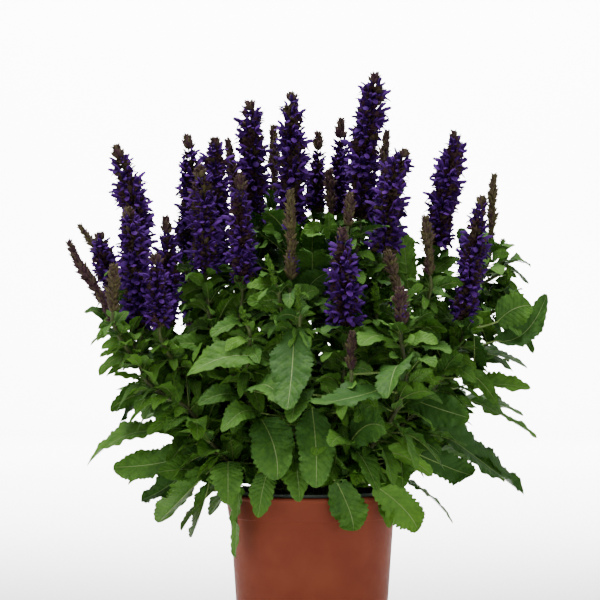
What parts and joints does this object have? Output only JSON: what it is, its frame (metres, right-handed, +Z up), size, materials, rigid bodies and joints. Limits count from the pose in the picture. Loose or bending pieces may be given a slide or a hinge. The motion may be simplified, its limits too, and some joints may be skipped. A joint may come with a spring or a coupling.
{
  "type": "perennial salvia",
  "caption": "Clump of leafy square stems with upright violet flower spikes and dark bud spikes, growing in a round terracotta-coloured plastic pot.",
  "frame": {"origin": "on the floor, at the centre of the pot's flat underside", "axes": "+Z up through the plant, -Y towards the front of the plant, +X to the right of it"},
  "size_m": [0.471, 0.4615, 0.567],
  "materials": {
    "pot_plastic": "satin",
    "nursery_pot_plastic": "matte",
    "compost": "matte",
    "foliage": "satin",
    "corollas": "matte",
    "bud_bracts": "matte"
  },
  "bodies": {
    "root": {"outer_pot": "pot_plastic", "inner_pot": "nursery_pot_plastic", "soil": "compost", "stem_01": "foliage", "stem_02": "foliage", "stem_03": "foliage", "stem_04": "foliage", "stem_05": "foliage", "stem_06": "foliage", "stem_07": "foliage", "stem_08": "foliage", "stem_09": "foliage", "stem_10": "foliage", "stem_11": "foliage", "stem_12": "foliage", "stem_13": "foliage", "stem_14": "foliage", "stem_15": "foliage", "stem_16": "foliage", "stem_17": "foliage", "stem_18": "foliage", "spike_01": "corollas", "spike_02": "corollas", "spike_03": "bud_bracts", "spike_04": "bud_bracts", "spike_05": "corollas", "spike_06": "bud_bracts", "spike_07": "corollas", "spike_08": "corollas", "spike_09": "corollas", "spike_10": "corollas", "spike_11": "bud_bracts", "spike_12": "corollas", "spike_13": "corollas", "spike_14": "corollas", "spike_15": "bud_bracts", "spike_16": "corollas", "spike_17": "bud_bracts", "spike_18": "corollas", "spike_19": "corollas", "spike_20": "corollas", "spike_21": "bud_bracts", "spike_22": "corollas", "spike_23": "corollas", "spike_24": "bud_bracts", "spike_25": "bud_bracts", "spike_26": "corollas", "spike_27": "corollas", "spike_28": "bud_bracts", "spike_29": "bud_bracts", "spike_30": "bud_bracts", "spike_31": "bud_bracts", "spike_32": "corollas", "spike_33": "bud_bracts", "spike_34": "corollas", "spike_35": "bud_bracts", "spike_36": "corollas", "spike_37": "bud_bracts", "spike_38": "bud_bracts"}
  },
  "joints": []
}
